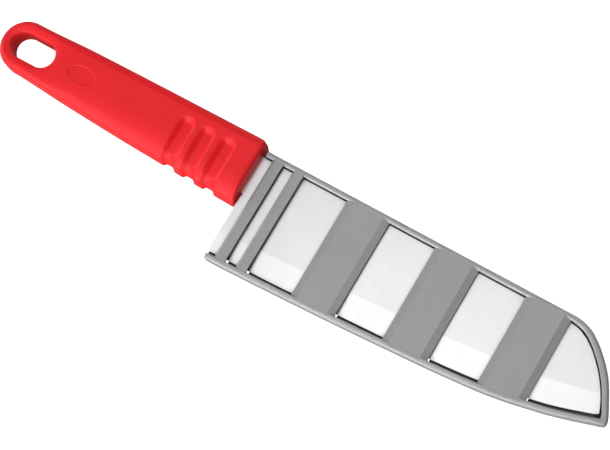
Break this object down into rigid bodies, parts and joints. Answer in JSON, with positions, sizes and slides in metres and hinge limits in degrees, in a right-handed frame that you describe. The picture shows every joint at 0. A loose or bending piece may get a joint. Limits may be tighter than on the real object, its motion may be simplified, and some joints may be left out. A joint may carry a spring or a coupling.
{
  "type": "sheathed camp chef knife",
  "caption": "Camp kitchen knife with a sheepsfoot-nosed santoku blade, a slotted plastic handle with grip grooves, and an openwork guard that slides off the blade.",
  "frame": {"origin": "middle of the footprint at the lowest point, with the sheathed knife lying on its back side", "axes": "+X along the knife toward the tip, +Y toward the spine, +Z out of the face that is up"},
  "size_m": [0.2714, 0.0494, 0.0139],
  "materials": {
    "blade_steel": "stainless steel, satin ground across the blade, with a brighter ground bevel along the edge",
    "handle_plastic": "red moulded plastic, fine satin texture",
    "sheath_plastic": "mid-grey moulded plastic, satin"
  },
  "bodies": {
    "knife": {"blade": "blade_steel", "handle": "handle_plastic"},
    "guard": {"sheath": "sheath_plastic"}
  },
  "joints": [
    {"name": "guard_slide", "type": "slide", "parent": "knife", "child": "guard", "axis": [1, 0, 0], "range_m": [0, 0.165]}
  ]
}
